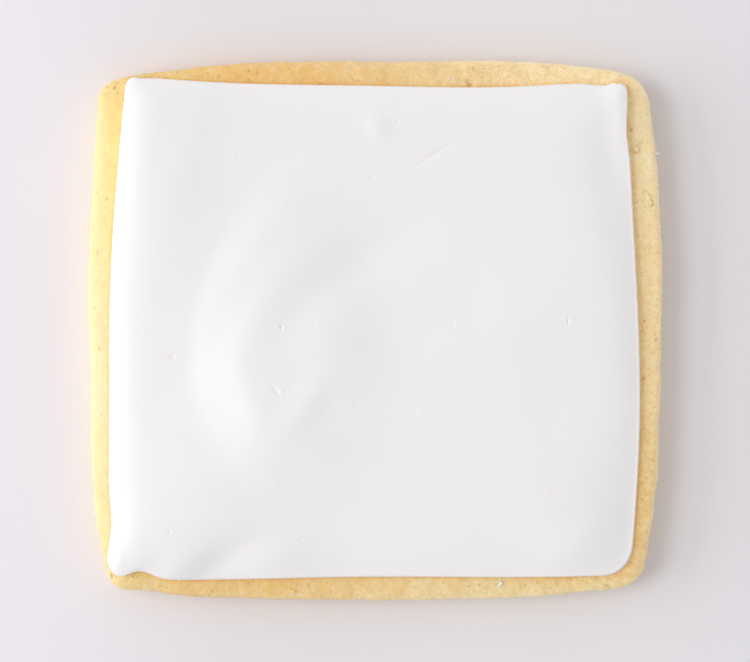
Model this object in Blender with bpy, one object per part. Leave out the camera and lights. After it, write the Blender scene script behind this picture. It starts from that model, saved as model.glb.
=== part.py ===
"""Square sugar cookie under a poured coat of white icing, lying on its flat underside.

Metres, +Z up. +X runs along the biscuit's longer side and +Y towards its back edge. The origin
is on the surface below the biscuit, under the middle of its outline.
"""

import math

import bmesh
import bpy
from mathutils import Matrix, Vector
from mathutils.geometry import interpolate_bezier

MM = 0.001

# Biscuit: rolled dough, cut square, that swelled a little in the oven
BISCUIT_LENGTH = 80.0 * MM
BISCUIT_DEPTH = 75.1 * MM
BISCUIT_THICKNESS = 6.2 * MM
# right, back, left and front: the height at which the side stands out furthest, and how far in
# from it the top begins to fall
WIDEST_HEIGHTS = (5.5 * MM, 4.8 * MM, 4.1 * MM, 4.8 * MM)
TOP_ROUND_WIDTHS = (0.9 * MM, 3.4 * MM, 5.6 * MM, 3.4 * MM)
FOOT_ROUND_WIDTH = 0.45 * MM    # how far the side tucks in under itself
TOP_SQUARENESS = 2.0            # 2 is a plain round edge, more is squarer
FOOT_SQUARENESS = 2.6

# Icing: a piped border filled with a poured sheet that follows the biscuit under it
ICING_GAP = 0.3 * MM            # clearance to the biscuit
LIP_HEIGHT = 0.35 * MM          # the border is widest this far above the biscuit
LIP_TUCK = 0.15 * MM            # and narrower by this much where it meets it
BORDER_RISE = 0.65 * MM         # steep rise of the border from its lip
BORDER_WIDTH = 0.5 * MM
CROWN_RISE = 0.9 * MM           # slow rise from the border to the middle
CROWN_REACH = 3.3 * MM
UNDERSIDE_INSETS = (0.6 * MM, 1.2 * MM, 2.0 * MM, 3.0 * MM)

# Mesh steps
SIDE_STEPS = 32
CORNER_STEPS = 8
SIDE_CROWDING = 0.6             # 0 spaces a side's points evenly, 1 crowds them at the corners
FOOT_STEPS = 3
TOP_STEPS = 7
GRID_CROWDING = 1.5             # 1 spaces the icing's rings evenly, more crowds them at its border
CORNER_FULLNESS = 0.6           # handle length of a rounded corner, as a share of its reach
SHARP_ANGLE = 40.0              # degrees; edges that turn more than this are shaded sharp

# Finishes: base colour and roughness
BAKED_DOUGH = {"name": "baked_dough", "colour": (0.80, 0.56, 0.29), "roughness": 0.85}
WHITE_ICING = {"name": "white_icing", "colour": (0.88, 0.87, 0.88), "roughness": 0.35}

MEAN_HALF_SIZE = (BISCUIT_LENGTH + BISCUIT_DEPTH) / 4

# Each outline runs anticlockwise from the front left corner. A corner stands in from the
# biscuit's box by "inset", and its rounding takes "reach" of the side before it and after it.
# The side that follows it swells outwards by "waves": a bow, a lean, a ripple and a flutter,
# which are sine waves of one to four half turns. A dent is its distance along the side
# (negative from the far end), its depth outwards and its width. All of these are in mm.
QUARTERS = ((-1, -1), (1, -1), (1, 1), (-1, 1))
BISCUIT_OUTLINE = (
    {"inset": (3.5, 1.05), "reach": (3.0, 2.4), "waves": (1.67, -0.21, 0.15, -0.04),
     "dents": ((4.5, -0.48, 4.0),)},
    {"inset": (2.75, 2.05), "reach": (3.6, 5.1), "waves": (2.55, -0.02, 0.21, 0.09), "dents": ()},
    {"inset": (2.2, 2.25), "reach": (3.9, 4.2), "waves": (2.76, 0.06, 0.42, 0.09), "dents": ()},
    {"inset": (1.55, 2.75), "reach": (4.0, 3.5), "waves": (2.48, -0.42, 0.26, -0.24), "dents": ()},
)
ICING_OUTLINE = (
    {"inset": (2.6, 2.95), "reach": (3.5, 2.8), "waves": (0.10, 0.0, 0.13),
     "dents": ((4.9, -1.2, 2.4),)},
    {"inset": (4.45, 3.55), "reach": (4.0, 4.4), "waves": (1.34, 0.33, 0.0),
     "dents": ((-7.5, -0.34, 2.9),)},
    {"inset": (5.0, 2.45), "reach": (2.6, 1.6), "waves": (-1.5, -0.16, -0.22),
     "dents": ((2.2, -0.8, 3.7), (-2.2, -0.17, 1.4))},
    {"inset": (5.55, 2.15), "reach": (1.35, 2.0), "waves": (0.84, 0.29, -0.09),
     "dents": ((-7.6, -0.53, 4.2),)},
)

# Swirl left in the icing: ridges along arcs, in mm and degrees. A ridge falls away over
# "outside" beyond its arc and over "inside" towards the arc's centre; below zero it is a groove.
RIDGES = (
    {"centre": (12.4, -4.1), "radius": 32.2, "middle": 164, "spread": 45,
     "height": 0.55, "outside": 6.8, "inside": 13.8},
    {"centre": (-31.3, 6.2), "radius": 27.4, "middle": -40, "spread": 18,
     "height": 0.27, "outside": 3.7, "inside": 3.8},
    {"centre": (-3.2, -3.3), "radius": 16.8, "middle": 185, "spread": 81,
     "height": -0.21, "outside": 4.3, "inside": 11.9},
)
# Swells (or, below zero, hollows) of the icing, in mm and degrees anticlockwise
SWELLS = (
    # the long hollow on the left, the crescent that rises out of it and its inner curl
    {"at": (-33.1, -7.0), "size": (16.0, 10.4), "turn": 10, "height": -0.58},
    {"at": (-17.1, -12.4), "size": (3.8, 8.3), "turn": 23, "height": 0.52},
    {"at": (-16.0, 2.0), "size": (3.7, 6.8), "turn": -34, "height": 0.50},
    {"at": (-13.1, -11.5), "size": (5.2, 11.1), "turn": 30, "height": 0.57},
    {"at": (-5.5, -2.8), "size": (5.3, 11.6), "turn": -1, "height": 0.42},
    {"at": (-9.7, 3.8), "size": (6.8, 10.4), "turn": 6, "height": 0.52},
    {"at": (-7.2, 6.4), "size": (11.0, 4.6), "turn": 26, "height": -0.55},
    # banks near the border
    {"at": (-31.4, 21.1), "size": (9.9, 22.0), "turn": 13, "height": 0.55},
    {"at": (-29.0, -28.5), "size": (16.0, 9.3), "turn": 50, "height": 0.55},
    {"at": (-14.2, -31.8), "size": (4.7, 2.6), "turn": 31, "height": 0.40},
    {"at": (36.0, -27.0), "size": (5.5, 6.9), "turn": 34, "height": -0.58},
    {"at": (34.7, 28.7), "size": (1.8, 8.4), "turn": 8, "height": 0.58},
    # faint round on the right
    {"at": (20.9, -9.1), "size": (3.9, 22.0), "turn": 11, "height": 0.07},
)


def side_line(start, end, side):
    """The bowed side between two corners: a function of distance along it, and its length."""
    chord = end - start
    length = chord.length
    outwards = Vector((chord.y, -chord.x)) / length

    def at(distance):
        share = distance / length
        swell = sum(
            height * math.sin(turns * math.pi * share)
            for turns, height in enumerate(side["waves"], start=1)
        )
        for place, depth, width in side["dents"]:
            middle = place * MM if place > 0 else length + place * MM
            swell += depth * math.exp(-(((distance - middle) / (width * MM)) ** 2))
        return start + chord * share + outwards * swell * MM

    return at, length


def crowded(share):
    """Share along a side, with more of its points near both ends."""
    bunched = (1 - math.cos(math.pi * share)) / 2
    return share + (bunched - share) * SIDE_CROWDING


def rounded_corner(side, distance, next_side, next_distance):
    """Curve from a place on one side, round the corner, to a place on the next."""
    first = side(distance)
    last = next_side(next_distance)
    step = 0.01 * MM
    arriving = (first - side(distance - step)).normalized()
    leaving = (next_side(next_distance + step) - last).normalized()
    reach = (last - first).length / math.sqrt(2) * CORNER_FULLNESS
    curve = interpolate_bezier(
        first, first + arriving * reach, last - leaving * reach, last, CORNER_STEPS + 1
    )
    return [Vector(point[:2]) for point in curve[:-1]]


def outline_points(shape):
    """Points round an outline, starting at the middle of its front left corner."""
    corners = [
        Vector((
            right * (BISCUIT_LENGTH / 2 - part["inset"][0] * MM),
            back * (BISCUIT_DEPTH / 2 - part["inset"][1] * MM),
        ))
        for (right, back), part in zip(QUARTERS, shape)
    ]
    sides = [side_line(corners[n], corners[(n + 1) % 4], shape[n]) for n in range(4)]
    points = []
    for n, (side, length) in enumerate(sides):
        next_side = sides[(n + 1) % 4][0]
        next_reach = shape[(n + 1) % 4]["reach"]
        first = shape[n]["reach"][1] * MM
        last = length - next_reach[0] * MM
        for step in range(SIDE_STEPS):
            points.append(side(first + (last - first) * crowded(step / SIDE_STEPS)))
        points += rounded_corner(side, last, next_side, next_reach[1] * MM)
    half_corner = CORNER_STEPS // 2
    return points[-half_corner:] + points[:-half_corner]


def fit_to_biscuit_box(biscuit, icing):
    """Centre both outlines and stretch them so that the biscuit has exactly its two sizes."""
    low = Vector((min(p.x for p in biscuit), min(p.y for p in biscuit)))
    high = Vector((max(p.x for p in biscuit), max(p.y for p in biscuit)))
    middle = (low + high) / 2
    stretch = Vector((BISCUIT_LENGTH / (high.x - low.x), BISCUIT_DEPTH / (high.y - low.y)))
    return [[(point - middle) * stretch for point in points] for points in (biscuit, icing)]


def squared_round(share, power):
    """Height, 0 to 1, of a squared quarter round at a share of its width in from its foot."""
    return (1 - (1 - min(max(share, 0.0), 1.0)) ** power) ** (1 / power)


def ring_share(inset):
    """Size of the ring that lies inset from an outline, as a share of the outline."""
    return 1 - inset / MEAN_HALF_SIZE


def ring_point(outline, along, share):
    """Point on a smaller copy of an outline; along counts the outline's points."""
    index = int(along)
    start = outline[index % len(outline)]
    end = outline[(index + 1) % len(outline)]
    return start.lerp(end, along - index) * share


def inset_at(outline, point):
    """How far a point lies in from an outline, measured as ring_share measures it."""
    for start, end in zip(outline, outline[1:] + outline[:1]):
        if start.cross(point) >= 0 and point.cross(end) > 0:
            share = point.cross(end - start) / start.cross(end)
            return (1 - share) * MEAN_HALF_SIZE
    return MEAN_HALF_SIZE


def blended_by_side(values, point):
    """Value at a point from those of the right, back, left and front side of the biscuit."""
    way = point.normalized()
    parts = (way.x, way.y, -way.x, -way.y)
    return sum(value * max(0.0, part) ** 2 for value, part in zip(values, parts))


def biscuit_top(biscuit, point):
    """Height of the biscuit's upper surface at a point."""
    inset = inset_at(biscuit, point)
    if inset >= max(TOP_ROUND_WIDTHS):
        return BISCUIT_THICKNESS
    widest = blended_by_side(WIDEST_HEIGHTS, point)
    share = inset / blended_by_side(TOP_ROUND_WIDTHS, point)
    return widest + (BISCUIT_THICKNESS - widest) * squared_round(share, TOP_SQUARENESS)


def side_section(widest, round_width):
    """Inset and height of each ring of one side, from its underside up and over to the top."""
    quarter = math.pi / 2
    rings = []
    for step in range(FOOT_STEPS, -1, -1):
        share = 1 - math.cos(quarter * step / FOOT_STEPS)
        height = widest * (1 - squared_round(share, FOOT_SQUARENESS))
        rings.append((share * FOOT_ROUND_WIDTH, height))
    for step in range(1, TOP_STEPS + 1):
        share = 1 - math.cos(quarter * step / TOP_STEPS)
        height = widest + (BISCUIT_THICKNESS - widest) * squared_round(share, TOP_SQUARENESS)
        rings.append((share * round_width, height))
    return rings


def icing_thickness(inset):
    """Thickness of the icing, inset from its border, before the swirl is added."""
    border = BORDER_RISE * squared_round(inset / BORDER_WIDTH, 2)
    crown = CROWN_RISE * math.tanh(inset / CROWN_REACH)
    return LIP_HEIGHT + border + crown


def eased(share):
    """Smooth fall from 1 at share 0 to 0 at share 1 and beyond."""
    share = min(max(share, 0.0), 1.0)
    return 1 - share * share * (3 - 2 * share)


def icing_relief(point):
    """Height that the swirl and the swells add to the icing."""
    place = point / MM
    height = 0.0
    for ridge in RIDGES:
        arm = place - Vector(ridge["centre"])
        beyond = arm.length - ridge["radius"]
        width = ridge["outside"] if beyond > 0 else ridge["inside"]
        turned = math.degrees(math.atan2(arm.y, arm.x)) - ridge["middle"]
        turned = (turned + 180) % 360 - 180
        height += ridge["height"] * eased(abs(beyond) / width) * eased(abs(turned) / ridge["spread"])
    for swell in SWELLS:
        away = Matrix.Rotation(-math.radians(swell["turn"]), 2) @ (place - Vector(swell["at"]))
        spread = (away.x / swell["size"][0]) ** 2 + (away.y / swell["size"][1]) ** 2
        height += swell["height"] * math.exp(-spread)
    return height * MM


def extend_rim(bm, rim, position):
    """Extrude an open rim once and put its new points where position(along) says."""
    grown = bmesh.ops.extrude_edge_only(bm, edges=rim)["geom"]
    along = bm.verts.layers.float["along"]
    for vert in grown:
        if isinstance(vert, bmesh.types.BMVert):
            vert.co = position(vert[along])
    return [edge for edge in grown if isinstance(edge, bmesh.types.BMEdge) and edge.is_boundary]


def biscuit_mesh(biscuit):
    """The biscuit: its outline as a disc, carried up ring by ring and closed on top."""
    bm = bmesh.new()
    along = bm.verts.layers.float.new("along")
    bmesh.ops.create_circle(bm, cap_ends=True, segments=len(biscuit), radius=1.0)
    sections = [side_section(*sizes) for sizes in zip(WIDEST_HEIGHTS, TOP_ROUND_WIDTHS)]

    def ring_of_sides(*rings):
        insets, heights = zip(*rings)

        def position(place):
            edge = ring_point(biscuit, place, 1.0)
            share = ring_share(blended_by_side(insets, edge))
            return Vector((*edge * share, blended_by_side(heights, edge)))
        return position

    foot, *upper = (ring_of_sides(*rings) for rings in zip(*sections))
    for index, vert in enumerate(bm.verts):
        vert[along] = index
        vert.co = foot(index)
    rim = bm.edges[:]
    for position in upper:
        rim = extend_rim(bm, rim, position)
    bmesh.ops.edgeloop_fill(bm, edges=rim)
    return bm


def place_on_square(u, v):
    """Place round a square's rim, 0 to 4 from its front left corner, of a point on it."""
    if v <= -abs(u):
        return (u / -v + 1) / 2
    if u >= abs(v):
        return 1 + (v / u + 1) / 2
    if v >= abs(u):
        return 2 + (1 - u / v) / 2
    return 3 + (1 - v / -u) / 2


def icing_mesh(biscuit, icing):
    """The icing: a square grid whose rings follow the outline, turned down and closed below."""
    bm = bmesh.new()
    along = bm.verts.layers.float.new("along")
    cells = len(icing) // 4
    bmesh.ops.create_grid(bm, x_segments=cells, y_segments=cells, size=1.0)
    for vert in bm.verts:
        u, v = vert.co.xy
        ring = max(abs(u), abs(v))
        if ring > 0:
            vert[along] = place_on_square(u, v) * cells
        inset = MEAN_HALF_SIZE * (1 - ring) ** GRID_CROWDING
        point = ring_point(icing, vert[along], ring_share(inset))
        base = biscuit_top(biscuit, point) + ICING_GAP
        relief = icing_relief(point) * min(1.0, inset / BORDER_WIDTH)
        vert.co = (*point, base + icing_thickness(inset) + relief)

    def under(inset):
        def position(place):
            point = ring_point(icing, place, ring_share(inset))
            return Vector((*point, biscuit_top(biscuit, point) + ICING_GAP))
        return position

    rim = [edge for edge in bm.edges if edge.is_boundary]
    for inset in (LIP_TUCK, *UNDERSIDE_INSETS):
        rim = extend_rim(bm, rim, under(inset))
    bmesh.ops.edgeloop_fill(bm, edges=rim)
    return bm


def food_material(finish):
    """Plain Principled material."""
    material = bpy.data.materials.new(finish["name"])
    material.use_nodes = True
    shader = material.node_tree.nodes["Principled BSDF"]
    shader.inputs["Base Color"].default_value = (*finish["colour"], 1.0)
    shader.inputs["Roughness"].default_value = finish["roughness"]
    shader.inputs["Metallic"].default_value = 0.0
    return material


def add_piece(name, bm, finish, collection):
    """Turn a finished bmesh into a smooth-shaded object in the collection."""
    bmesh.ops.recalc_face_normals(bm, faces=bm.faces)
    mesh = bpy.data.meshes.new(name)
    bm.to_mesh(mesh)
    bm.free()
    mesh.shade_smooth()
    mesh.set_sharp_from_angle(angle=math.radians(SHARP_ANGLE))
    mesh.materials.append(food_material(finish))
    piece = bpy.data.objects.new(name, mesh)
    collection.objects.link(piece)
    return piece


def main():
    for old in list(bpy.data.objects):
        bpy.data.objects.remove(old)
    collection = bpy.data.collections.new("iced_sugar_cookie")
    bpy.context.scene.collection.children.link(collection)
    biscuit, icing = fit_to_biscuit_box(
        outline_points(BISCUIT_OUTLINE), outline_points(ICING_OUTLINE)
    )
    add_piece("cookie", biscuit_mesh(biscuit), BAKED_DOUGH, collection)
    add_piece("icing", icing_mesh(biscuit, icing), WHITE_ICING, collection)


main()
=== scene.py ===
import math

import bmesh
import bpy
import numpy as np
from mathutils import Matrix, Vector, kdtree, noise
from mathutils.geometry import interpolate_bezier


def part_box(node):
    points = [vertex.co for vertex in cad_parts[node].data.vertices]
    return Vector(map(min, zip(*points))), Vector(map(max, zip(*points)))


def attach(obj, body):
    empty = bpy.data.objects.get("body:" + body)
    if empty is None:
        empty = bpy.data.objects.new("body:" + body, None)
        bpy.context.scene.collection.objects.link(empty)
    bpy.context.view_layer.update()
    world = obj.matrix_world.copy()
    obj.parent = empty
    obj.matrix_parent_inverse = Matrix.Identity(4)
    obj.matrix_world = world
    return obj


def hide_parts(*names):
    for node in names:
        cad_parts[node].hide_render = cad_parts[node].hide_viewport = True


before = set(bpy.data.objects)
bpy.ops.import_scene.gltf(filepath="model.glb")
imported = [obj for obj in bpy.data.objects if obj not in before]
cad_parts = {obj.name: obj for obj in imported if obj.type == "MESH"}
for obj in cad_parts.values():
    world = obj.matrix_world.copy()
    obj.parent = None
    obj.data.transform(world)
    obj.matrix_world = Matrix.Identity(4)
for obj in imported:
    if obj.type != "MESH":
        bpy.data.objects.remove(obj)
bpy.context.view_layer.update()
print("frame loaded:", sorted(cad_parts))

# Lengths below are in millimetres; meshes are scaled to metres when they are made.
mm = 0.001
biscuitLow, biscuitHigh = (np.array(corner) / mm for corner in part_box("cookie"))
length, depth, thickness = biscuitHigh - biscuitLow
meanHalfSize = (length + depth) / 4
quarters = ((-1, -1), (1, -1), (1, 1), (-1, 1))  # front left, then anticlockwise
noiseLow, noiseHigh = 0.3, 0.7  # a noise texture seldom leaves these values


def sideLine(start, end, side):
    # a side as a function of the distance along it, and its length
    chord = end - start
    span = chord.length
    outwards = Vector((chord.y, -chord.x)) / span

    def at(distance):
        share = distance / span
        swell = sum(
            height * math.sin(turns * math.pi * share)
            for turns, height in enumerate(side["waves"], start=1)
        )
        for place, height, width in side["dents"]:
            middle = place if place > 0 else span + place
            swell += height * math.exp(-(((distance - middle) / width) ** 2))
        return start + chord * share + outwards * swell

    return at, span


def bunched(share, crowding=0.6):
    # a side's points stand closer together near its corners
    return share + ((1 - math.cos(math.pi * share)) / 2 - share) * crowding


def roundedCorner(side, distance, nextSide, nextDistance, steps, fullness=0.6):
    # the bend that joins two sides, without its last point
    first = side(distance)
    last = nextSide(nextDistance)
    step = 0.01
    arriving = (first - side(distance - step)).normalized()
    leaving = (nextSide(nextDistance + step) - last).normalized()
    reach = (last - first).length / math.sqrt(2) * fullness
    curve = interpolate_bezier(
        first, first + arriving * reach, last - leaving * reach, last, steps + 1
    )
    return [Vector(point[:2]) for point in curve[:-1]]


def outlinePoints(shape, sideSteps, cornerSteps):
    # anticlockwise, from the middle of the front left corner
    corners = [
        Vector((right * (length / 2 - part["inset"][0]), back * (depth / 2 - part["inset"][1])))
        for (right, back), part in zip(quarters, shape)
    ]
    sides = [sideLine(corners[n], corners[(n + 1) % 4], shape[n]) for n in range(4)]
    points = []
    for n, (side, span) in enumerate(sides):
        nextSide = sides[(n + 1) % 4][0]
        nextReach = shape[(n + 1) % 4]["reach"]
        first = shape[n]["reach"][1]
        last = span - nextReach[0]
        for step in range(sideSteps):
            points.append(side(first + (last - first) * bunched(step / sideSteps)))
        points += roundedCorner(side, last, nextSide, nextReach[1], cornerSteps)
    half = cornerSteps // 2
    return np.array(points[-half:] + points[:-half])


def placeAlong(outline, u, v):
    # point of the outline that answers to the rim point nearest (u, v) on a unit square
    ring = np.maximum(np.abs(u), np.abs(v))
    safe = np.where(ring > 0, ring, 1)
    u, v = u / safe, v / safe
    place = np.select(
        (v <= -np.abs(u), u >= np.abs(v), v >= np.abs(u)),
        ((u + 1) / 2, 1 + (v + 1) / 2, 2 + (1 - u) / 2),
        3 + (1 - v) / 2,
    )
    index = place * len(outline) / 4
    closed = np.vstack((outline, outline[:1]))
    steps = np.arange(len(closed))
    return np.column_stack([np.interp(index, steps, closed[:, axis]) for axis in (0, 1)]), ring


def insetFrom(outline, points):
    # how far in from an outline points lie, along the line from the middle
    reach = np.interp(
        np.arctan2(points[:, 1], points[:, 0]),
        np.arctan2(outline[:, 1], outline[:, 0]),
        np.hypot(outline[:, 0], outline[:, 1]),
        period=2 * math.pi,
    )
    return (1 - np.hypot(points[:, 0], points[:, 1]) / reach) * meanHalfSize


def squaredRound(share, power):
    # a quarter round from 0 to 1: a circle for a power of 2, squarer for more
    return (1 - (1 - np.clip(share, 0, 1)) ** power) ** (1 / power)


def sideShares(points):
    # how much a place belongs to the right, back, left and front side
    angles = np.arctan2(points[:, 1], points[:, 0])
    directions = np.column_stack((np.cos(angles), np.sin(angles)))
    return np.column_stack((directions, -directions)).clip(0) ** 2


def patternMesh(cells, rimCuts, ringCount, step):
    # square grid with its rim carried on ring by ring; z counts the rings
    bm = bmesh.new()
    bmesh.ops.create_grid(bm, x_segments=cells, y_segments=cells, size=1.0)
    rim = [edge for edge in bm.edges if edge.is_boundary]
    if rimCuts:
        bmesh.ops.subdivide_edges(bm, edges=rim, cuts=rimCuts)
        rim = [edge for edge in bm.edges if edge.is_boundary]
    for ring in range(ringCount):
        grown = bmesh.ops.extrude_edge_only(bm, edges=rim)["geom"]
        verts = [part for part in grown if isinstance(part, bmesh.types.BMVert)]
        bmesh.ops.translate(bm, verts=verts, vec=(0, 0, step))
        rim = [part for part in grown if isinstance(part, bmesh.types.BMEdge) and part.is_boundary]
    bmesh.ops.edgeloop_fill(bm, edges=rim)
    bmesh.ops.recalc_face_normals(bm, faces=bm.faces)
    return bm


def vertexPlaces(bm):
    return np.array([vert.co for vert in bm.verts])


def vertexNormals(bm):
    bm.normal_update()
    return np.array([vert.normal for vert in bm.verts])


def placeVertices(bm, points):
    for vert, point in zip(bm.verts, points):
        vert.co = point * mm


def keepAmounts(bm, name, amounts):
    # a value at each vertex, for the finish to read
    layer = bm.verts.layers.float.new(name)
    for vert, amount in zip(bm.verts, amounts):
        vert[layer] = amount


def finishPiece(name, bm, material, node=None):
    mesh = bpy.data.meshes.new(name)
    bmesh.ops.recalc_face_normals(bm, faces=bm.faces)
    bm.to_mesh(mesh)
    bm.free()
    mesh.shade_smooth()
    mesh.materials.append(material)
    piece = bpy.data.objects.new(name, mesh)
    bpy.context.scene.collection.objects.link(piece)
    if node:
        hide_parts(node)
    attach(piece, "root")
    print(name, "made:", len(mesh.polygons), "faces")


def addNode(tree, kind, inputs=None, **settings):
    node = tree.nodes.new(kind)
    for name, value in settings.items():
        setattr(node, name, value)
    for name, value in (inputs or {}).items():
        if isinstance(value, bpy.types.NodeSocket):
            tree.links.new(value, node.inputs[name])
        else:
            node.inputs[name].default_value = value
    return node


def newFinish(name):
    material = bpy.data.materials.new(name)
    material.use_nodes = True
    tree = material.node_tree
    places = addNode(tree, "ShaderNodeTexCoord").outputs["Object"]
    return material, tree, tree.nodes["Principled BSDF"], places


def noiseAt(tree, places, size, detail=2.0):
    # size is the width of one blotch in millimetres
    return addNode(
        tree, "ShaderNodeTexNoise", {"Vector": places, "Scale": 1 / (size * mm), "Detail": detail}
    ).outputs["Fac"]


def spread(tree, value, low, high, toLow=0.0, toHigh=1.0):
    return addNode(tree, "ShaderNodeMapRange", {
        "Value": value, "From Min": low, "From Max": high, "To Min": toLow, "To Max": toHigh,
    }).outputs["Result"]


def clouded(tree, places, size, detail=2.0, toLow=0.0, toHigh=1.0):
    return spread(tree, noiseAt(tree, places, size, detail), noiseLow, noiseHigh, toLow, toHigh)


def strip(tree, axis, limits, toLow=0.0, toHigh=1.0):
    # from toLow to toHigh between two places in millimetres
    return spread(tree, axis, limits[0] * mm, limits[1] * mm, toLow, toHigh)


def blended(tree, factor, first, second, mode="MIX"):
    # sockets 0, 6 and 7 take the factor and the two colours, and 2 gives the result
    node = addNode(tree, "ShaderNodeMix", data_type="RGBA", blend_type=mode)
    for index, value in ((0, factor), (6, first), (7, second)):
        if isinstance(value, bpy.types.NodeSocket):
            tree.links.new(value, node.inputs[index])
        elif index == 0:
            node.inputs[index].default_value = value
        else:
            node.inputs[index].default_value = (*value, 1.0)
    return node.outputs[2]


def added(tree, first, second):
    return addNode(tree, "ShaderNodeMath", {0: first, 1: second}, operation="ADD").outputs[0]


def times(tree, first, second):
    return addNode(tree, "ShaderNodeMath", {0: first, 1: second}, operation="MULTIPLY").outputs[0]


def ramped(tree, value, stops):
    # colour from a value, by stops of place and colour
    node = addNode(tree, "ShaderNodeValToRGB", {"Fac": value})
    ramp = node.color_ramp
    ramp.elements[0].position, ramp.elements[-1].position = stops[0][0], stops[-1][0]
    for place, _ in stops[1:-1]:
        ramp.elements.new(place)
    for element, (_, colour) in zip(ramp.elements, stops):
        element.color = (*colour, 1.0)
    return node.outputs["Color"]


def dressed(tree, shader, colour, surface, rough, strength, deep):
    # colour, the values that are the same all over, and the fine unevenness
    tree.links.new(colour, shader.inputs["Base Color"])
    for name, value in surface.items():
        shader.inputs[name].default_value = value
    bump = addNode(tree, "ShaderNodeBump", {
        "Height": rough, "Strength": strength, "Distance": deep * mm,
    })
    tree.links.new(bump.outputs["Normal"], shader.inputs["Normal"])


# The square of dough. Each part of an outline is a corner (how far it stands in from the box
# and how much of each side its rounding takes) and the side that follows it: the heights of
# its waves, and its dents as distance along, depth and width.
biscuit = {
    "outline": (
        {"inset": (3.5, 1.05), "reach": (3.0, 2.4), "waves": (1.67, -0.21, 0.15, -0.04),
         "dents": ((4.5, -0.48, 4.0),)},
        {"inset": (2.75, 2.05), "reach": (3.6, 5.1), "waves": (2.55, -0.02, 0.21, 0.09),
         "dents": ()},
        {"inset": (2.2, 2.25), "reach": (3.9, 4.2), "waves": (2.76, 0.06, 0.42, 0.09),
         "dents": ()},
        {"inset": (1.55, 2.75), "reach": (4.0, 3.5), "waves": (2.48, -0.42, 0.26, -0.24),
         "dents": ()},
    ),
    "sideSteps": 288,
    "cornerSteps": 72,
    "undersideCells": 90,
    "rimCuts": 3,           # each cell of the underside's rim is cut this often for the side
    # right, back, left and front: where the side stands out furthest, and the width of the
    # rounding between it and the top
    "widestHeight": (5.5, 4.8, 4.1, 4.8),
    "topRound": (0.9, 3.4, 5.6, 3.4),
    "topPower": 2.0,        # 2 rounds it evenly, more makes it squarer
    "footRound": 0.45,
    "footPower": 2.6,
    "sectionSteps": 200,
    "rings": 48,
    "smoothRings": 4,       # the lumps and cracks set in above these rings of the foot
    "shelfInset": 6.5,      # the crumb is modelled this far in, under the icing's border
    "lumps": ((6.0, 0.12), (2.0, 0.13), (0.8, 0.075), (0.42, 0.045)),  # size and height
    "undersideFade": 0.05,  # the share of the underside over which its unevenness dies out
    "pits": 260,
    "pitRadius": (0.14, 0.42),
    "pitDepth": (0.04, 0.14),
    "pitReach": 1.5,        # in radii, how far a pit is felt
    "pitSteepness": 2.0,
    # short fissures along the side, where the dough split a little as it rose: how many, then
    # the limits of their height, half their length in degrees and their depth
    "cracks": 16,
    "crackHeight": (1.6, 4.4),
    "crackReach": (1.5, 4.5),
    "crackDepth": (0.05, 0.14),
    "crackWidth": 0.16,
    "crackWave": 0.25,      # how far it sways, and how often
    "crackSways": 3,
    "crackTop": 0.85,       # none cuts the top, which starts at this share of the thickness
    "seed": 7,
}


def biscuitTop(inset, shares):
    widest = shares @ biscuit["widestHeight"]
    share = inset / (shares @ biscuit["topRound"])
    return widest + (thickness - widest) * squaredRound(share, biscuit["topPower"])


def sideSection(widest, topRound):
    # inset and height from the foot up over the side and in along the top, evenly spaced
    quarter = np.linspace(0, math.pi / 2, biscuit["sectionSteps"])
    foot = 1 - np.cos(quarter[::-1])
    top = 1 - np.cos(quarter)
    inset = np.concatenate((
        foot * biscuit["footRound"], top * topRound, [biscuit["shelfInset"]]
    ))
    height = np.concatenate((
        widest * (1 - squaredRound(foot, biscuit["footPower"])),
        widest + (thickness - widest) * squaredRound(top, biscuit["topPower"]),
        [thickness],
    ))
    walked = np.concatenate(([0], np.cumsum(np.hypot(np.diff(inset), np.diff(height)))))
    stops = np.linspace(0, walked[-1], biscuit["rings"] + 1)
    return np.column_stack((np.interp(stops, walked, inset), np.interp(stops, walked, height)))


def lumpiness(points):
    height = np.zeros(len(points))
    for size, amount in biscuit["lumps"]:
        height += amount * np.array([noise.noise(Vector(p / size)) for p in points])
    return height


def pitting(points, allowed, rng):
    # pits whose middles are among the allowed points
    tree = kdtree.KDTree(len(points))
    for index, point in enumerate(points):
        tree.insert(point, index)
    tree.balance()
    sunk = np.zeros(len(points))
    for centre in rng.choice(allowed, biscuit["pits"], replace=False):
        radius = rng.uniform(*biscuit["pitRadius"])
        deep = rng.uniform(*biscuit["pitDepth"]) * radius / biscuit["pitRadius"][1]
        for _, index, away in tree.find_range(points[centre], radius * biscuit["pitReach"]):
            sunk[index] -= deep * math.exp(-((away / radius) ** 2) * biscuit["pitSteepness"])
    return sunk


def cracking(points, level, rng):
    turned = np.degrees(np.arctan2(points[:, 1], points[:, 0]))
    side = (level >= biscuit["smoothRings"]) & (points[:, 2] < thickness * biscuit["crackTop"])
    sunk = np.zeros(len(points))
    for _ in range(biscuit["cracks"]):
        middle = rng.uniform(-180, 180)
        high = rng.uniform(*biscuit["crackHeight"])
        reach = rng.uniform(*biscuit["crackReach"])
        deep = rng.uniform(*biscuit["crackDepth"])
        phase = rng.uniform(0, 6.28)
        share = ((turned - middle + 180) % 360 - 180) / reach
        line = high + biscuit["crackWave"] * np.sin(share * biscuit["crackSways"] + phase)
        fade = np.clip(1 - share ** 2, 0, 1)
        sunk -= side * deep * fade * np.exp(
            -(((points[:, 2] - line) / biscuit["crackWidth"]) ** 2)
        )
    return sunk


def footShadeAmounts(points, sugar):
    # how much each point takes on of the painted shade along the icing's foot: a browner line that
    # stands in for the shade its border casts
    line = crumb["footLine"]
    shares = sideShares(points[:, :2])
    beyond = np.maximum(0, -insetFrom(sugar, points[:, :2]))
    return (shares @ line["strength"]) * np.exp(-(beyond / (shares @ line["width"])) ** 2)


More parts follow.
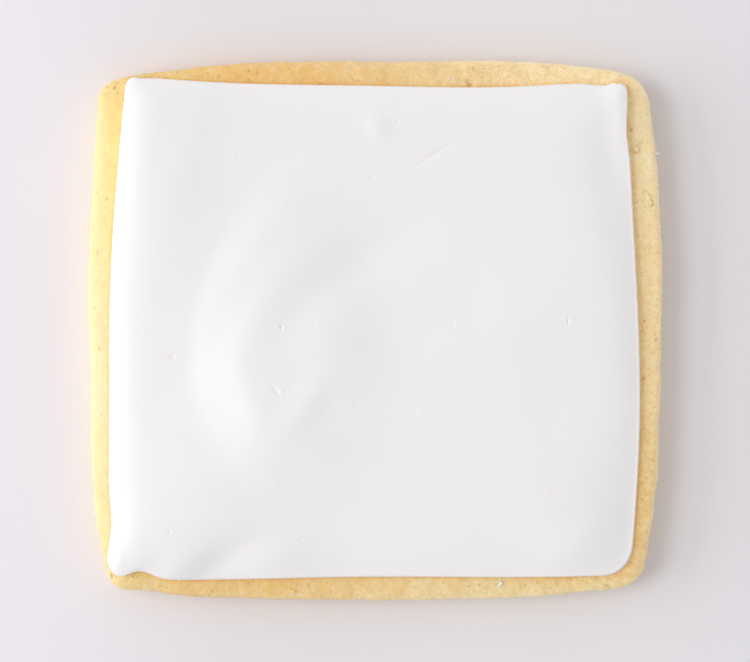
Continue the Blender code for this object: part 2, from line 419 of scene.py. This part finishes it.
def scorching(points):
    onTop = points[:, 2] > thickness / 2
    scorched = np.zeros(len(points))
    for x, y, radius in crumb["scorched"]:
        away = np.hypot(points[:, 0] - x, points[:, 1] - y)
        scorched = np.maximum(scorched, onTop * np.exp(-(away / radius) ** 2))
    return scorched


def buildBiscuit(dough, sugar, material):
    bm = patternMesh(biscuit["undersideCells"], biscuit["rimCuts"], biscuit["rings"], 1.0)
    pattern = vertexPlaces(bm)
    spots, ring = placeAlong(dough, pattern[:, 0], pattern[:, 1])
    level = np.rint(pattern[:, 2]).astype(int)
    sides = zip(biscuit["widestHeight"], biscuit["topRound"])
    sections = [sideSection(widest, topRound) for widest, topRound in sides]
    shares = sideShares(spots)
    blend = sum(share[:, None] * section[level] for share, section in zip(shares.T, sections))
    inset = blend[:, 0] + (meanHalfSize - biscuit["footRound"]) * (1 - ring)
    points = np.column_stack((spots * (1 - inset / meanHalfSize)[:, None], blend[:, 1]))
    placeVertices(bm, points)
    normals = vertexNormals(bm)
    underside = level == 0
    push = lumpiness(points)
    rng = np.random.default_rng(biscuit["seed"])
    push += pitting(points, np.flatnonzero(~underside), rng)
    push += cracking(points, level, rng)
    # the foot and the underside's rim stay flat, and nothing goes below the floor
    faded = np.clip(level / biscuit["smoothRings"], 0, 1)
    points += normals * (push * faded)[:, None]
    hollow = np.abs(push) * np.clip((1 - ring) / biscuit["undersideFade"], 0, 1)
    points[underside, 2] += hollow[underside]
    points[:, 2] = np.maximum(points[:, 2], 0)
    placeVertices(bm, points)
    # amounts of the painted shade along the icing's foot, and of the scorched pits, for the finish
    # to read
    keepAmounts(bm, "paintedFootShade", footShadeAmounts(points, sugar))
    keepAmounts(bm, "scorched", scorching(points))
    finishPiece("cookie_crumb", bm, material, "cookie")


# How far the dough is baked, going round it by degrees, on its side and on its top: 0 is pale,
# 1 is golden brown. The last number is how yellow its top is.
crumb = {
    "baked": (
        (-180, 0.26, 0.36, 0.32), (-165, 0.25, 0.26, 0.12), (-145, 0.40, 0.45, 0.45),
        (-135, 0.62, 0.79, 0.55), (-125, 0.80, 0.95, 0.0), (-100, 0.68, 0.81, 0.0),
        (-75, 0.45, 0.63, 0.0), (-50, 0.44, 0.62, 0.08), (-30, 0.12, 0.57, 0.42),
        (-15, 0.05, 0.38, 0.18), (0, 0.03, 0.36, 0.12), (15, 0.03, 0.38, 0.10),
        (28, 0.02, 0.26, 0.06), (45, 0.12, 0.30, 0.04), (58, 0.24, 0.43, 0.04),
        (75, 0.48, 0.67, 0.04), (92, 0.66, 0.82, 0.07), (118, 0.88, 0.98, 0.22),
        (132, 0.74, 0.66, 1.0), (145, 0.34, 0.38, 0.95), (165, 0.28, 0.40, 0.70),
        (180, 0.26, 0.36, 0.32),
    ),
    "yellow": (1.0, 1.0, 0.70),     # the tint at its strongest
    "sideYellow": 0.5,      # the side takes on this share of it
    "sideFade": (5.3, 6.05),        # heights over which the side's tone turns into the top's
    "footFade": (0.3, 2.8, 0.25),   # its foot, over these heights, is this much browner
    # size, detail and strength of its blotches
    "blotches": ((2.6, 2.0, 0.08), (0.7, 3.0, 0.12), (0.24, 2.0, 0.15)),
    # from pale to golden brown
    "colours": (
        (0.0, (1.0, 0.875, 0.595)), (0.28, (1.0, 0.79, 0.478)), (0.62, (0.858, 0.64, 0.338)),
        (1.0, (0.85, 0.53, 0.195)),
    ),
    # painted shade along the icing's foot, as a browner line that is widest on the right, where
    # the border's shade falls; for the right, back, left and front
    "footLine": {
        "tint": (0.97, 0.82, 0.63), "width": (1.1, 0.26, 0.26, 0.26),
        "strength": (0.40, 1.0, 1.0, 1.0), "patchSize": 1.2, "patchNoise": (0.36, 0.64),
        "patchRange": (0.45, 1.5),
    },
    # pits that browned more than the rest: place and radius
    "scorched": (
        (13.0, 34.15, 0.30), (13.3, 34.1, 0.22), (12.7, 34.7, 0.20), (35.65, 27.9, 0.24),
        (36.35, 25.5, 0.20), (36.4, 24.95, 0.24), (39.1, -1.3, 0.18), (37.5, 1.3, 0.16),
        (37.4, -6.7, 0.20), (-34.2, 33.9, 0.18),
    ),
    "scorchedColour": (0.58, 0.31, 0.10),
    # painted light: the front rim is made lighter and the right rim redder, to make up for how the
    # light falls on them; each tone fades in over its strip
    "frontPaintedLight": (1.01, 1.05, 1.06),
    "frontStrip": (-31, -34),
    "rightPaintedLight": (1.045, 1.015, 1.015),
    "rightStrip": (31, 35),
    # single grains: their size, how many are pale and dark (from these values up), how much
    # they show and in what colour; towards the left they fade to leftGrain
    "grainSize": 0.20,
    "paleFrom": 0.90, "paleGrain": 0.16, "paleColour": (0.96, 0.90, 0.72),
    "darkFrom": 0.88, "darkGrain": 0.26, "darkColour": (0.66, 0.35, 0.11),
    "leftStrip": (-32, -37),
    "leftGrain": 0.4,
    # its sandy surface
    "roughSize": 0.22, "roughDetail": 3.0, "roughStrength": 0.8, "roughDepth": 0.06,
    "surface": {
        "Roughness": 0.85, "Specular IOR Level": 0.3, "Subsurface Weight": 0.3,
        "Subsurface Radius": (1.0, 0.6, 0.3), "Subsurface Scale": 0.6 * mm,
    },
}


def doughTone(tree, axes, places, grainy):
    # how far it is baked at each place, and how yellow it is there
    angle = addNode(
        tree, "ShaderNodeMath", {0: axes["Y"], 1: axes["X"]}, operation="ARCTAN2"
    ).outputs[0]
    turn = spread(tree, angle, -math.pi, math.pi)
    baked = ramped(tree, turn, [
        ((degrees + 180) / 360, tones) for degrees, *tones in crumb["baked"]
    ])
    tones = addNode(tree, "ShaderNodeSeparateColor", {"Color": baked}).outputs
    topside = strip(tree, axes["Z"], crumb["sideFade"])
    toast = addNode(tree, "ShaderNodeMix", {
        "Factor": topside, "A": tones["Red"], "B": tones["Green"]
    }).outputs["Result"]
    *footHeights, footToast = crumb["footFade"]
    toast = added(tree, toast, strip(tree, axes["Z"], footHeights, footToast, 0.0))
    for size, detail, amount in crumb["blotches"]:
        blotch = clouded(tree, places, size, detail, -amount, amount)
        toast = added(tree, toast, times(tree, blotch, grainy))
    yellowness = spread(tree, topside, 0, 1, crumb["sideYellow"], 1.0)
    return toast, times(tree, tones["Blue"], yellowness)


def grained(tree, places, colour, grainy):
    scale = 1 / (crumb["grainSize"] * mm)
    grains = addNode(tree, "ShaderNodeTexVoronoi", {"Vector": places, "Scale": scale})
    shade = addNode(tree, "ShaderNodeSeparateColor", {"Color": grains.outputs["Color"]}).outputs
    pale = spread(tree, shade["Red"], crumb["paleFrom"], 1.0, 0.0, crumb["paleGrain"])
    dark = spread(tree, shade["Green"], crumb["darkFrom"], 1.0, 0.0, crumb["darkGrain"])
    colour = blended(tree, times(tree, pale, grainy), colour, crumb["paleColour"])
    return blended(tree, times(tree, dark, grainy), colour, crumb["darkColour"])


def doughFinish():
    material, tree, shader, places = newFinish("sandy baked dough")
    axes = addNode(tree, "ShaderNodeSeparateXYZ", {"Vector": places}).outputs
    grainy = strip(tree, axes["X"], crumb["leftStrip"], 1.0, crumb["leftGrain"])
    toast, yellow = doughTone(tree, axes, places, grainy)
    colour = ramped(tree, toast, crumb["colours"])
    colour = blended(tree, yellow, colour, crumb["yellow"], "MULTIPLY")
    # painted light on the front and right rims
    front = strip(tree, axes["Y"], crumb["frontStrip"])
    colour = blended(tree, front, colour, crumb["frontPaintedLight"], "MULTIPLY")
    right = strip(tree, axes["X"], crumb["rightStrip"])
    colour = blended(tree, right, colour, crumb["rightPaintedLight"], "MULTIPLY")

    # painted shade: the browner line along the icing's foot, broken into patches
    line = crumb["footLine"]
    paintedFootShade = addNode(tree, "ShaderNodeAttribute", attribute_name="paintedFootShade").outputs["Fac"]
    patches = spread(
        tree, noiseAt(tree, places, line["patchSize"]), *line["patchNoise"], *line["patchRange"]
    )
    paintedFootShade = times(tree, paintedFootShade, patches)
    colour = blended(tree, paintedFootShade, colour, line["tint"], "MULTIPLY")
    scorched = addNode(tree, "ShaderNodeAttribute", attribute_name="scorched").outputs["Fac"]
    colour = blended(tree, scorched, colour, crumb["scorchedColour"])
    colour = grained(tree, places, colour, grainy)

    rough = noiseAt(tree, places, crumb["roughSize"], crumb["roughDetail"])
    dressed(
        tree, shader, colour, crumb["surface"], rough,
        crumb["roughStrength"], crumb["roughDepth"],
    )
    return material


# The coat of icing. Ridges follow arcs: centre, radius, middle and spread in degrees, then
# height and how far they fall away beyond the arc and inside it. Swells are ovals.
icing = {
    "outline": (
        {"inset": (2.6, 2.95), "reach": (3.5, 2.8), "waves": (0.10, 0.0, 0.13),
         "dents": ((4.9, -1.2, 2.4),)},
        {"inset": (4.45, 3.55), "reach": (4.0, 4.4), "waves": (1.34, 0.33, 0.0),
         "dents": ((-7.5, -0.34, 2.9),)},
        {"inset": (5.0, 2.45), "reach": (2.0, 1.2), "waves": (-1.5, -0.16, -0.22),
         "dents": ((2.2, -0.8, 3.7), (1.9, 0.26, 0.5), (-2.2, -0.17, 1.4))},
        {"inset": (5.55, 2.15), "reach": (1.35, 2.0), "waves": (0.84, 0.29, -0.09),
         "dents": ((-7.6, -0.53, 4.2),)},
    ),
    "cells": 240,
    "crowding": 1.5,        # more draws the cells together near the border
    "sink": 0.15,           # the border reaches this far into the crumb
    "tuck": 0.35,           # how far the edge turns in under the lip
    "lipRings": 6,
    "underside": (0.8, 1.8, 3.0),   # insets of the rings that close it from below
    "borderRelief": 0.88,   # how much of the swells the border takes on, and the inset from
    "reliefInset": 1.2,     # which they are at their full height
    "crownRise": 0.9,       # the slow rise behind the border
    # right, back, left and front: the height at which the border is widest, the height and
    # width of the steep edge above it, how far in the brim that dried first stands and how
    # high, and the width of the slow rise
    "lip": (1.12, 0.75, 0.75, 0.75),
    "borderRise": (0.33, 0.70, 0.70, 0.70),
    "borderWidth": (0.16, 0.36, 0.42, 0.36),
    "beadInset": (0.18, 0.26, 0.27, 0.26),
    "beadHeight": (0.06, 0.05, 0.03, 0.05),
    "beadWidth": 0.13,
    "crownReach": (3.6, 3.4, 3.3, 3.4),
    "calmInset": 1.5,       # farther in, its contours no longer follow the lobes of the edge
    "calmSpan": 44,         # how many points of the outline are averaged for that
    "ridges": (
        {"centre": (12.5, -4.6), "radius": 32.5, "middle": 162, "spread": 47,
         "height": 0.51, "outside": 6.5, "inside": 14.2},
        {"centre": (-32.4, 5.8), "radius": 28.1, "middle": -36, "spread": 17,
         "height": 0.24, "outside": 3.4, "inside": 3.6},
        {"centre": (-3.7, -3.1), "radius": 16.5, "middle": 186, "spread": 79,
         "height": -0.25, "outside": 4.3, "inside": 11.6},
    ),
    "swells": (
        # the long hollow on the left, the crescent that rises out of it and its inner curl
        {"at": (-37.1, -7.2), "size": (16.0, 13.1), "turn": 16, "height": -0.90},
        {"at": (-17.2, -11.7), "size": (3.8, 8.9), "turn": 21, "height": 0.60},
        {"at": (-16.5, 0.4), "size": (3.8, 6.4), "turn": -48, "height": 0.80},
        {"at": (-12.4, -12.3), "size": (4.8, 9.8), "turn": 33, "height": 0.49},
        {"at": (-6.0, 1.1), "size": (5.4, 12.1), "turn": 9, "height": 0.67},
        {"at": (-12.3, 2.8), "size": (5.9, 14.8), "turn": 9, "height": 0.42},
        {"at": (-10.8, 3.8), "size": (15.1, 3.6), "turn": 32, "height": -0.56},
        # banks near the border
        {"at": (-32.8, 25.2), "size": (11.0, 22.5), "turn": 20, "height": 0.79},
        {"at": (-31.7, -27.4), "size": (18.3, 7.5), "turn": 29, "height": 0.86},
        # creases that run off the front border on the left
        {"at": (-14.2, -32.8), "size": (8.4, 3.0), "turn": 55, "height": 0.24},
        {"at": (-4.6, -33.6), "size": (4.2, 3.4), "turn": 20, "height": -0.15},
        {"at": (-22.3, -32.7), "size": (1.9, 5.1), "turn": -56, "height": -0.42},
        {"at": (-28.0, -35.4), "size": (4.8, 6.9), "turn": -33, "height": 0.78},
        {"at": (-19.6, -26.8), "size": (6.9, 3.9), "turn": 0, "height": 0.36},
        # the lobe at the front left corner
        {"at": (-36.6, -32.6), "size": (1.8, 2.8), "turn": -11, "height": 0.75},
        {"at": (-33.6, -34.2), "size": (2.6, 3.0), "turn": -11, "height": 0.38},
        # the right border
        {"at": (35.6, -27.6), "size": (5.9, 11.2), "turn": -1, "height": -0.77},
        {"at": (27.4, -30.6), "size": (2.7, 5.7), "turn": -45, "height": 0.16},
        {"at": (35.1, 28.8), "size": (2.0, 6.5), "turn": 6, "height": 0.57},
        {"at": (33.0, 20.8), "size": (3.1, 10.6), "turn": 9, "height": -0.36},
        # faint rounds, and a small bump at the back
        {"at": (-25.7, 25.2), "size": (2.3, 13.0), "turn": -16, "height": 0.09},
        {"at": (21.0, -14.3), "size": (3.1, 25.7), "turn": 10, "height": 0.06},
        {"at": (20.9, 3.0), "size": (8.2, 14.7), "turn": -58, "height": 0.29},
        {"at": (0.4, 28.3), "size": (1.7, 1.3), "turn": -53, "height": 0.20},
    ),
    # nicks and scratches, which are small hollows; the mesh is halved round them twice, over
    # these multiples of their size and a margin
    "finer": (2.6, 2.2),
    "finerMargin": 0.2,
    "marks": (
        {"at": (-13.0, 0.4), "size": (0.17, 0.17), "turn": 0, "height": -0.24},
        {"at": (-13.7, -8.5), "size": (0.7, 0.28), "turn": -50, "height": -0.09},
        {"at": (-13.0, -8.3), "size": (0.4, 0.3), "turn": 0, "height": 0.05},
        {"at": (-11.9, 16.9), "size": (0.5, 0.11), "turn": -20, "height": -0.09},
        {"at": (-11.5, 16.6), "size": (0.3, 0.10), "turn": -60, "height": -0.04},
        {"at": (-28.1, -3.7), "size": (0.4, 0.35), "turn": 0, "height": -0.07},
        {"at": (-16.5, -15.7), "size": (0.9, 0.11), "turn": -8, "height": -0.07},
        {"at": (26.8, 1.2), "size": (0.12, 0.45), "turn": 0, "height": -0.11},
        {"at": (21.9, 13.7), "size": (0.22, 0.4), "turn": 0, "height": -0.04},
        {"at": (20.0, -10.1), "size": (0.5, 0.16), "turn": 0, "height": -0.05},
        {"at": (7.6, 24.0), "size": (4.2, 0.34), "turn": 32, "height": -0.06},
        {"at": (-2.5, -9.9), "size": (0.35, 0.35), "turn": 0, "height": -0.05},
    ),
    "pinholes": 26,
    "pinholeArea": (32.0, 30.0),    # they lie within these distances from the middle
    "pinholeSize": (0.10, 0.20),
    "pinholeDepth": 0.45,   # as a share of its radius
    "seed": 11,
}


def calmed(outline):
    # the outline without its lobes and sharp corners
    span = icing["calmSpan"]
    weights = np.hanning(2 * span + 1)
    weights /= weights.sum()
    closed = np.vstack((outline[-span:], outline, outline[:span]))
    return np.column_stack([np.convolve(closed[:, axis], weights, "valid") for axis in (0, 1)])


def eased(share):
    # falls smoothly from 1 at 0 to 0 at 1, on both sides
    share = np.clip(np.abs(share), 0, 1)
    return 1 - share * share * (3 - 2 * share)


def icingThickness(inset, shares):
    rise = shares @ icing["borderRise"]
    border = rise * squaredRound(inset / (shares @ icing["borderWidth"]), 2)
    crown = icing["crownRise"] * np.tanh(inset / (shares @ icing["crownReach"]))
    fromBead = (inset - shares @ icing["beadInset"]) / icing["beadWidth"]
    bead = (shares @ icing["beadHeight"]) * np.exp(-(fromBead ** 2))
    return shares @ icing["lip"] + border + crown + bead


def scatteredPinholes():
    rng = np.random.default_rng(icing["seed"])
    holes = []
    for _ in range(icing["pinholes"]):
        size = rng.uniform(*icing["pinholeSize"])
        place = rng.uniform(-1, 1, 2) * icing["pinholeArea"]
        holes.append({
            "at": tuple(place), "size": (size, size), "turn": 0,
            "height": -size * icing["pinholeDepth"],
        })
    return tuple(holes)


def turnedTo(mark, points):
    # where points lie along and across a mark or swell, from its middle
    x, y = (points - np.array(mark["at"])).T
    turn = math.radians(mark["turn"])
    return (
        x * math.cos(turn) + y * math.sin(turn),
        y * math.cos(turn) - x * math.sin(turn),
    )


def icingRelief(points, pinholes):
    height = np.zeros(len(points))
    for ridge in icing["ridges"]:
        arm = points - np.array(ridge["centre"])
        beyond = np.hypot(arm[:, 0], arm[:, 1]) - ridge["radius"]
        width = np.where(beyond > 0, ridge["outside"], ridge["inside"])
        turned = np.degrees(np.arctan2(arm[:, 1], arm[:, 0])) - ridge["middle"]
        turned = (turned + 180) % 360 - 180
        height += ridge["height"] * eased(beyond / width) * eased(turned / ridge["spread"])
    for swell in icing["swells"] + icing["marks"] + pinholes:
        along, across = turnedTo(swell, points)
        high, wide = swell["size"]
        height += swell["height"] * np.exp(-((along / high) ** 2) - (across / wide) ** 2)
    return height


def refineNear(bm, spots, placesOf):
    # halves the edges round each small mark, and again nearer to it
    for reach in icing["finer"]:
        points = placesOf(vertexPlaces(bm))
        near = np.zeros(len(points), bool)
        for spot in spots:
            along, across = turnedTo(spot, points)
            high, wide = (size * reach + icing["finerMargin"] for size in spot["size"])
            near |= np.hypot(along / high, across / wide) < 1
        edges = [edge for edge in bm.edges if any(near[vert.index] for vert in edge.verts)]
        bmesh.ops.subdivide_edges(bm, edges=edges, cuts=1, use_grid_fill=True)
        bm.verts.index_update()


def buildIcing(dough, sugar, material):
    # insets of the rings below the lip, and the share of the lip's height that each stands at
    lipTurn = np.sin(np.linspace(0, math.pi / 2, icing["lipRings"]))
    under = np.concatenate((icing["tuck"] * (1 - np.sqrt(1 - lipTurn ** 2)), icing["underside"]))
    drop = np.concatenate((1 - lipTurn, np.zeros(len(icing["underside"]))))
    calm = calmed(sugar)

    def layout(pattern):
        spots, ring = placeAlong(sugar, pattern[:, 0], pattern[:, 1])
        calmSpots, _ = placeAlong(calm, pattern[:, 0], pattern[:, 1])
        level = np.rint(-pattern[:, 2]).astype(int)
        inset = np.where(level > 0, under[level], meanHalfSize * (1 - ring) ** icing["crowding"])
        lobed = np.where(level > 0, 1, np.exp(-inset / icing["calmInset"]))[:, None]
        spots = calmSpots + (spots - calmSpots) * lobed
        return spots * (1 - inset / meanHalfSize)[:, None], inset, level

    def topPlaces(pattern):
        # where the top's vertices come to lie; those below it are kept out of the way
        return np.where(pattern[:, 2:] < 0, 1000.0, layout(pattern)[0])

    bm = patternMesh(icing["cells"], 0, len(under) - 1, -1.0)
    pinholes = scatteredPinholes()
    bm.verts.index_update()
    refineNear(bm, icing["marks"] + pinholes, topPlaces)
    points, inset, level = layout(vertexPlaces(bm))
    shares = sideShares(points)
    base = biscuitTop(insetFrom(dough, points), shares) - icing["sink"]
    relief = icingRelief(points, pinholes)
    borderRelief = relief * icing["borderRelief"]
    behind = np.clip(inset / icing["reliefInset"], 0, 1)
    upper = icingThickness(inset, shares) + borderRelief + (relief - borderRelief) * behind
    lower = (shares @ icing["lip"] + borderRelief) * drop[level]
    height = base + np.where(level > 0, lower, upper)
    placeVertices(bm, np.column_stack((points, height)))
    finishPiece("icing_coat", bm, material, "icing")


# The icing's skin: faint clouds in its white and its gloss, and a very fine unevenness
glaze = {
    "cloudSize": 9.0,
    "colours": ((0.882, 0.863, 0.873), (0.892, 0.871, 0.880)),
    "roughness": (0.33, 0.40),
    "skinSize": 1.2, "skinDetail": 3.0, "skinStrength": 0.25, "skinDepth": 0.02,
    "surface": {
        "Subsurface Weight": 0.15,
        "Subsurface Radius": (1.0, 0.9, 0.8), "Subsurface Scale": 0.8 * mm,
    },
}


def icingFinish():
    material, tree, shader, places = newFinish("satin white icing")
    clouds = clouded(tree, places, glaze["cloudSize"])
    colour = blended(tree, clouds, *glaze["colours"])
    gloss = spread(tree, clouds, 0.0, 1.0, *glaze["roughness"])
    tree.links.new(gloss, shader.inputs["Roughness"])
    skin = noiseAt(tree, places, glaze["skinSize"], glaze["skinDetail"])
    dressed(
        tree, shader, colour, glaze["surface"], skin,
        glaze["skinStrength"], glaze["skinDepth"],
    )
    return material


# Crumbs on the rim, and flecks of icing that dried there: place, size and turn
loose = {
    "flecks": (
        {"at": (17.55, -35.2), "size": (0.36, 0.23, 0.07), "turn": 50},
        {"at": (17.35, -35.55), "size": (0.20, 0.19, 0.06), "turn": 0},
        {"at": (10.2, 34.9), "size": (0.34, 0.14, 0.08), "turn": 60},
        {"at": (9.7, 34.4), "size": (0.16, 0.10, 0.06), "turn": 0},
        {"at": (39.2, 24.6), "size": (0.42, 0.14, 0.10), "turn": 10},
        {"at": (-27.3, -34.9), "size": (0.15, 0.10, 0.06), "turn": 20},
        {"at": (-31.8, -35.6), "size": (0.14, 0.09, 0.06), "turn": 40},
        {"at": (36.0, 9.6), "size": (0.18, 0.15, 0.10), "turn": 0},
    ),
    "crumbs": (
        {"at": (38.0, 18.4), "size": (1.15, 0.32, 0.16), "turn": 112},
        {"at": (36.4, 25.2), "size": (0.50, 0.40, 0.25), "turn": 30},
        {"at": (36.9, 26.2), "size": (0.35, 0.30, 0.20), "turn": 0},
        {"at": (39.4, 20.3), "size": (0.14, 0.12, 0.12), "turn": 0},
    ),
    "scattered": 150,
    "scatteredSize": (0.09, 0.26),
    "shrink": (0.5, 1.0),   # most are smaller than that, narrower than long, and flat
    "narrow": (0.6, 1.0),
    "flat": (0.4, 0.8),
    "fromEdge": (0.12, 0.95),   # where they lie, from the rim's edge to the icing's
    "rough": 0.7,           # how uneven a crumb is, as a share of its size
    "roughScale": 1.6,
    "roughSpan": 50,        # each takes its unevenness from another place within this span
    "detail": 2,
    "sunk": 0.35,           # the share of its height that is sunk into the rim
    "seed": 23,
}


def looseBits(dough, bits, rng):
    # small uneven lumps, each partly sunk into the rim
    bm = bmesh.new()
    for bit in bits:
        ball = bmesh.ops.create_icosphere(bm, subdivisions=loose["detail"], radius=1.0)
        offset = Vector(rng.uniform(0, loose["roughSpan"], 3))
        spot = np.array([bit["at"]])
        top = biscuitTop(insetFrom(dough, spot), sideShares(spot))[0]
        turn = Matrix.Rotation(math.radians(bit["turn"]), 3, "Z")
        size = Vector(bit["size"])
        middle = Vector((*bit["at"], top + size.z * (1 - 2 * loose["sunk"])))
        for vert in ball["verts"]:
            swell = 1 + loose["rough"] * noise.noise(vert.co * loose["roughScale"] + offset)
            place = turn @ (vert.co * swell * size)
            vert.co = (place + middle) * mm
    return bm


def scatteredBits(dough, sugar, rng):
    bits = []
    while len(bits) < loose["scattered"]:
        index = rng.integers(len(dough))
        edge = dough[index]
        inner = sugar[index]
        place = edge + (inner - edge) * rng.uniform(*loose["fromEdge"])
        size = rng.uniform(*loose["scatteredSize"]) * rng.uniform(*loose["shrink"])
        flat = rng.uniform(*loose["flat"])
        narrow = rng.uniform(*loose["narrow"])
        bits.append({
            "at": tuple(place), "size": (size, size * narrow, size * flat),
            "turn": rng.uniform(0, 180),
        })
    return tuple(bits)


def buildLooseBits(dough, sugar, crumbMaterial, fleckMaterial):
    rng = np.random.default_rng(loose["seed"])
    crumbs = loose["crumbs"] + scatteredBits(dough, sugar, rng)
    finishPiece("rim_crumbs", looseBits(dough, crumbs, rng), crumbMaterial)
    flecks = looseBits(dough, loose["flecks"], rng)
    finishPiece("icing_flecks", flecks, fleckMaterial)


studio = {
    "viewWidth": 104.6,         # the width that the camera takes in at viewHeight
    "viewHeight": 4.8,
    "cameraHeight": 620.0,
    "cameraY": -0.1,
    "sensor": 36.0,
    # soft boxes on the left: how high they stand in degrees, their distance, width and
    # height, and their power
    "key": {"rise": 58, "away": 2400.0, "size": (1120.0, 840.0), "power": 13.0},
    "window": {"rise": 25, "away": 2400.0, "size": (2400.0, 1400.0), "power": 23.8},
    "skyStrength": 0.625,
    "horizonStrength": 1.40,
    "frontHorizon": 0.55,       # it is darker at the front
    "frontBand": (-0.8, -0.1),  # from there to where it is at its full strength
    "horizonBand": (9, 19),     # degrees over which the bright horizon fades into the sky
    "rightSky": (0.91, 0.89, 0.86),     # the sky's tint far on the right
    "floorColour": (0.793, 0.770, 0.812),
    # painted light: the floor is paler towards the left, as if lit more from there
    "leftFloorLight": (0.90, 0.86, 0.925),     # it gets paler over this strip, to the left
    "leftFloor": (-20, -70),
    "floorClouds": 60.0,
    "floorCloudiness": 0.1,
    "floorSize": 6000.0,
    "floorRoughness": 0.9,
}


def softBox(name, box):
    # a rectangle of light to the left of the cookie, turned towards it
    lamp = bpy.data.lights.new(name, "AREA")
    lamp.shape = "RECTANGLE"
    lamp.size, lamp.size_y = (side * mm for side in box["size"])
    lamp.energy = box["power"]
    holder = bpy.data.objects.new(name, lamp)
    bpy.context.scene.collection.objects.link(holder)
    rise = math.radians(box["rise"])
    holder.location = Vector((-math.cos(rise), 0, math.sin(rise))) * box["away"] * mm
    holder.rotation_euler = (-holder.location).to_track_quat("-Z", "Y").to_euler()
    holder.visible_camera = False


def buildSky():
    # pale all round and brighter low down, but less so at the front
    world = bpy.data.worlds.new("studio")
    world.use_nodes = True
    tree = world.node_tree
    background = tree.nodes["Background"]
    way = addNode(tree, "ShaderNodeTexCoord").outputs["Generated"]
    ways = addNode(tree, "ShaderNodeSeparateXYZ", {"Vector": way}).outputs
    horizon = spread(
        tree, ways["Y"], *studio["frontBand"], studio["frontHorizon"], studio["horizonStrength"]
    )
    low, high = (math.sin(math.radians(angle)) for angle in studio["horizonBand"])
    strength = spread(tree, ways["Z"], low, high, horizon, studio["skyStrength"])
    tree.links.new(strength, background.inputs["Strength"])
    right = spread(tree, ways["X"], 0.0, 1.0)
    colour = blended(tree, right, (1.0, 1.0, 1.0), studio["rightSky"])
    tree.links.new(colour, background.inputs["Color"])
    bpy.context.scene.world = world


def buildFloor():
    bpy.ops.mesh.primitive_plane_add(size=studio["floorSize"] * mm)
    floor = bpy.context.object
    floor.name = "floor"
    material, tree, shader, places = newFinish("pale floor")
    across = addNode(tree, "ShaderNodeSeparateXYZ", {"Vector": places}).outputs["X"]
    # painted light: the floor is paler to the left, with faint clouds in its tone
    left = strip(tree, across, studio["leftFloor"])
    amount = studio["floorCloudiness"]
    cloud = clouded(tree, places, studio["floorClouds"], toLow=-amount, toHigh=amount)
    lightAndClouds = added(tree, left, cloud)
    colour = blended(tree, lightAndClouds, studio["floorColour"], studio["leftFloorLight"])
    tree.links.new(colour, shader.inputs["Base Color"])
    shader.inputs["Roughness"].default_value = studio["floorRoughness"]
    floor.data.materials.append(material)


def buildCamera():
    lens = bpy.data.cameras.new("camera")
    lens.sensor_width = studio["sensor"]
    away = studio["cameraHeight"] - studio["viewHeight"]
    lens.lens = studio["sensor"] * away / studio["viewWidth"]
    camera = bpy.data.objects.new("camera", lens)
    camera.location = Vector((0, studio["cameraY"], studio["cameraHeight"])) * mm
    bpy.context.scene.collection.objects.link(camera)
    bpy.context.scene.camera = camera


def fittedOutlines():
    # both outlines are centred and stretched together, so that the biscuit fills its box
    dough = outlinePoints(biscuit["outline"], biscuit["sideSteps"], biscuit["cornerSteps"])
    sugar = outlinePoints(icing["outline"], biscuit["sideSteps"], biscuit["cornerSteps"])
    low, high = dough.min(0), dough.max(0)
    stretch = np.array((length, depth)) / (high - low)
    return (dough - (low + high) / 2) * stretch, (sugar - (low + high) / 2) * stretch


doughOutline, sugarOutline = fittedOutlines()
doughLook, icingLook = doughFinish(), icingFinish()
print("outlines and finishes made")
buildBiscuit(doughOutline, sugarOutline, doughLook)
buildIcing(doughOutline, sugarOutline, icingLook)
buildLooseBits(doughOutline, sugarOutline, doughLook, icingLook)
buildFloor()
softBox("key", studio["key"])
softBox("window", studio["window"])
buildSky()
buildCamera()
bpy.context.scene.view_settings.view_transform = "Standard"
print("studio set")
